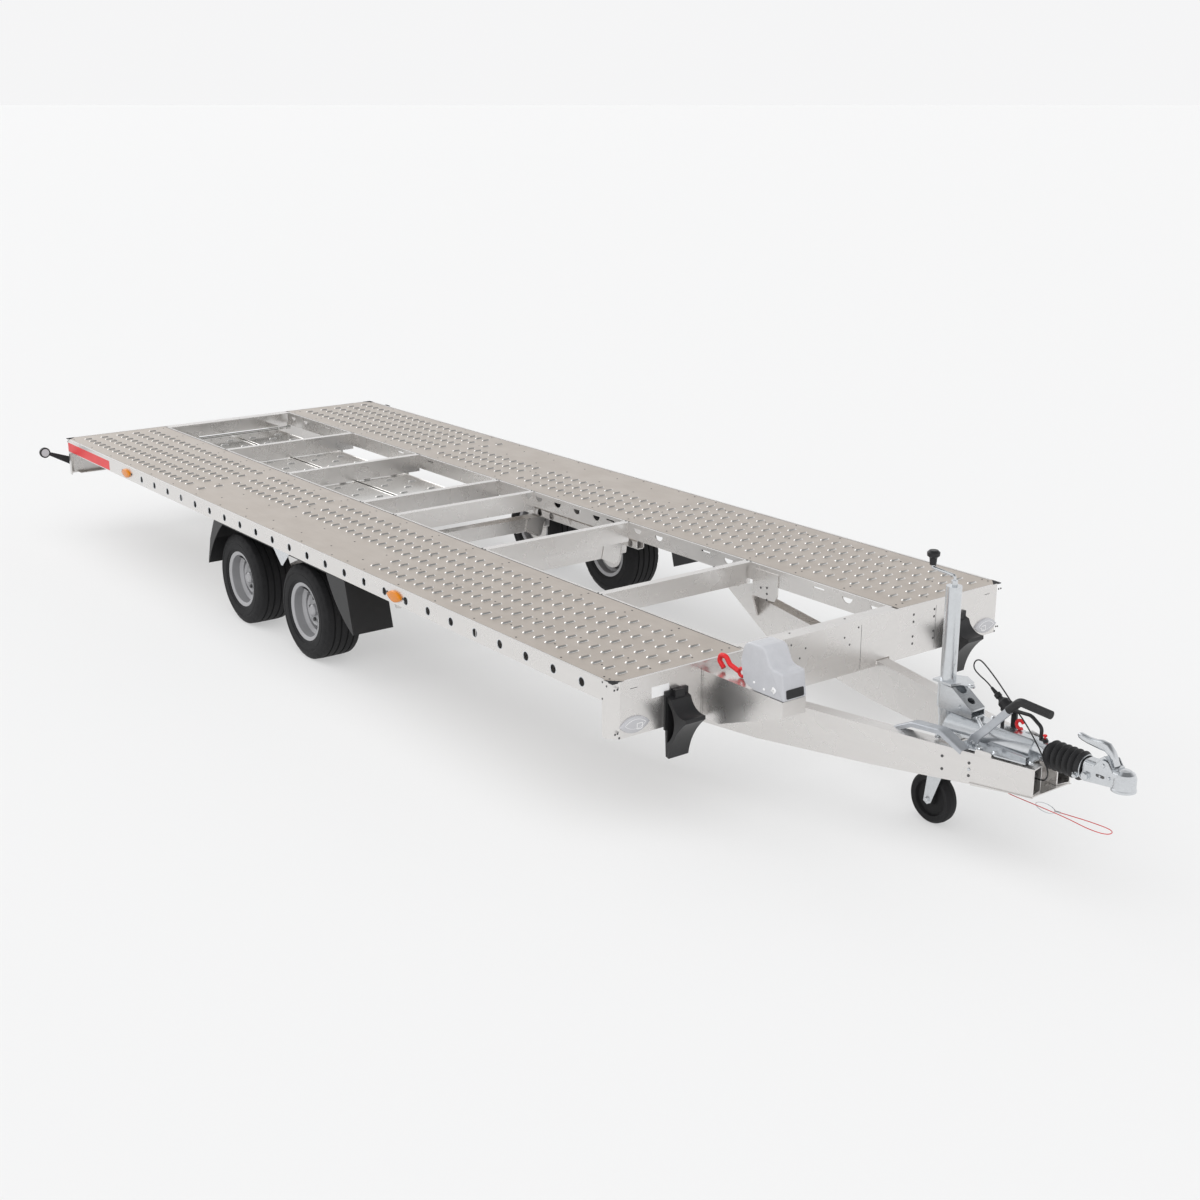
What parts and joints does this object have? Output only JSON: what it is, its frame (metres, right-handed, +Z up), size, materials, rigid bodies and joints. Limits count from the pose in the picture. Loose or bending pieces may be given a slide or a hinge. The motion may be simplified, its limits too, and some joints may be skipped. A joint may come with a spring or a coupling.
{
  "type": "car transporter trailer",
  "caption": "Twin-axle car transporter trailer with perforated side rails, two tread planks, open centre, overrun hitch, jockey wheel, winch and stowed ramps.",
  "frame": {"origin": "on the floor, under the middle of the trailer's length and width", "axes": "+X forward to the coupling, +Y to the left, +Z up"},
  "size_m": [6.904, 2.4218, 1.033],
  "materials": {
    "black_plastic": "grained",
    "black_rubber": "matt",
    "bright": "bright zinc plating",
    "grey_plastic": "satin",
    "lens_amber": "clear",
    "lens_red": "clear",
    "lens_white": "clear",
    "red_cord": "satin",
    "red_paint": "gloss",
    "tread": "coated tread sheet, satin",
    "tyre_rubber": "matt",
    "wheel_silver": "silver paint",
    "zinc": "galvanised steel, satin"
  },
  "bodies": {
    "chassis": {"axle_front": "zinc", "axle_rails": "zinc", "axle_rear": "zinc", "bellows": "black_rubber", "brake_grip": "black_plastic", "brake_lever": "zinc", "brake_quadrant": "zinc", "brake_strut": "black_plastic", "breakaway_cable": "red_cord", "breakaway_clip": "bright", "cable_bow": "black_plastic", "cable_holders": "black_plastic", "chocks": "black_plastic", "corner_caps": "black_plastic", "corner_posts": "zinc", "coupling_handle": "bright", "coupling_head": "bright", "crank_knob": "black_plastic", "cross_members": "zinc", "deck_bearers": "zinc", "deck_plank_left": "tread", "deck_plank_right": "tread", "draw_tube": "bright", "drawbar_beams": "zinc", "drawbar_hangers": "zinc", "drawbar_tie": "zinc", "front_lamps": "lens_white", "front_panel": "zinc", "hitch_housing": "bright", "inner_rails": "zinc", "jack_bracket": "zinc", "jack_tube": "bright", "marker_lenses": "lens_white", "marker_stalks": "black_rubber", "mudguards": "black_plastic", "plug": "black_plastic", "plug_cable": "black_rubber", "ramp_guides": "zinc", "ramp_lock": "bright", "rear_panel": "zinc", "release_hook": "red_paint", "side_markers": "lens_amber", "side_rails": "zinc", "tail_lamps": "lens_red", "winch_bracket": "zinc", "winch_hook": "red_paint", "winch_housing": "grey_plastic"},
    "wheel_front_left": {"tyre_front_left": "tyre_rubber", "rim_front_left": "wheel_silver"},
    "wheel_front_right": {"tyre_front_right": "tyre_rubber", "rim_front_right": "wheel_silver"},
    "wheel_rear_left": {"tyre_rear_left": "tyre_rubber", "rim_rear_left": "wheel_silver"},
    "wheel_rear_right": {"tyre_rear_right": "tyre_rubber", "rim_rear_right": "wheel_silver"},
    "jack_slide_leg": {"jack_leg": "bright"},
    "jack_caster": {"jack_fork": "zinc"},
    "jack_roller": {"jack_wheel": "black_rubber"},
    "stowed_ramp_left": {"ramp_left": "tread"},
    "stowed_ramp_right": {"ramp_right": "tread"}
  },
  "joints": [
    {"name": "wheel_front_left_spin", "type": "hinge", "parent": "chassis", "child": "wheel_front_left", "pos_m": [-0.46104, 0.905, 0.234], "axis": [0, 1, 0], "continuous": true},
    {"name": "wheel_front_right_spin", "type": "hinge", "parent": "chassis", "child": "wheel_front_right", "pos_m": [-0.46104, -0.905, 0.234], "axis": [0, 1, 0], "continuous": true},
    {"name": "wheel_rear_left_spin", "type": "hinge", "parent": "chassis", "child": "wheel_rear_left", "pos_m": [-1.15404, 0.905, 0.234], "axis": [0, 1, 0], "continuous": true},
    {"name": "wheel_rear_right_spin", "type": "hinge", "parent": "chassis", "child": "wheel_rear_right", "pos_m": [-1.15404, -0.905, 0.234], "axis": [0, 1, 0], "continuous": true},
    {"name": "jack_raise", "type": "slide", "parent": "chassis", "child": "jack_slide_leg", "axis": [0, 0, 1], "range_m": [0, 0.18]},
    {"name": "jack_swivel", "type": "hinge", "parent": "jack_slide_leg", "child": "jack_caster", "pos_m": [2.643, 0, 0.222], "axis": [0, 0, 1], "continuous": true},
    {"name": "jack_wheel_spin", "type": "hinge", "parent": "jack_caster", "child": "jack_roller", "pos_m": [2.611, 0, 0.1], "axis": [0, 1, 0], "continuous": true},
    {"name": "ramp_left_slide", "type": "slide", "parent": "chassis", "child": "stowed_ramp_left", "axis": [-1, 0, 0], "range_m": [0, 1.6]},
    {"name": "ramp_right_slide", "type": "slide", "parent": "chassis", "child": "stowed_ramp_right", "axis": [-1, 0, 0], "range_m": [0, 1.6]}
  ]
}
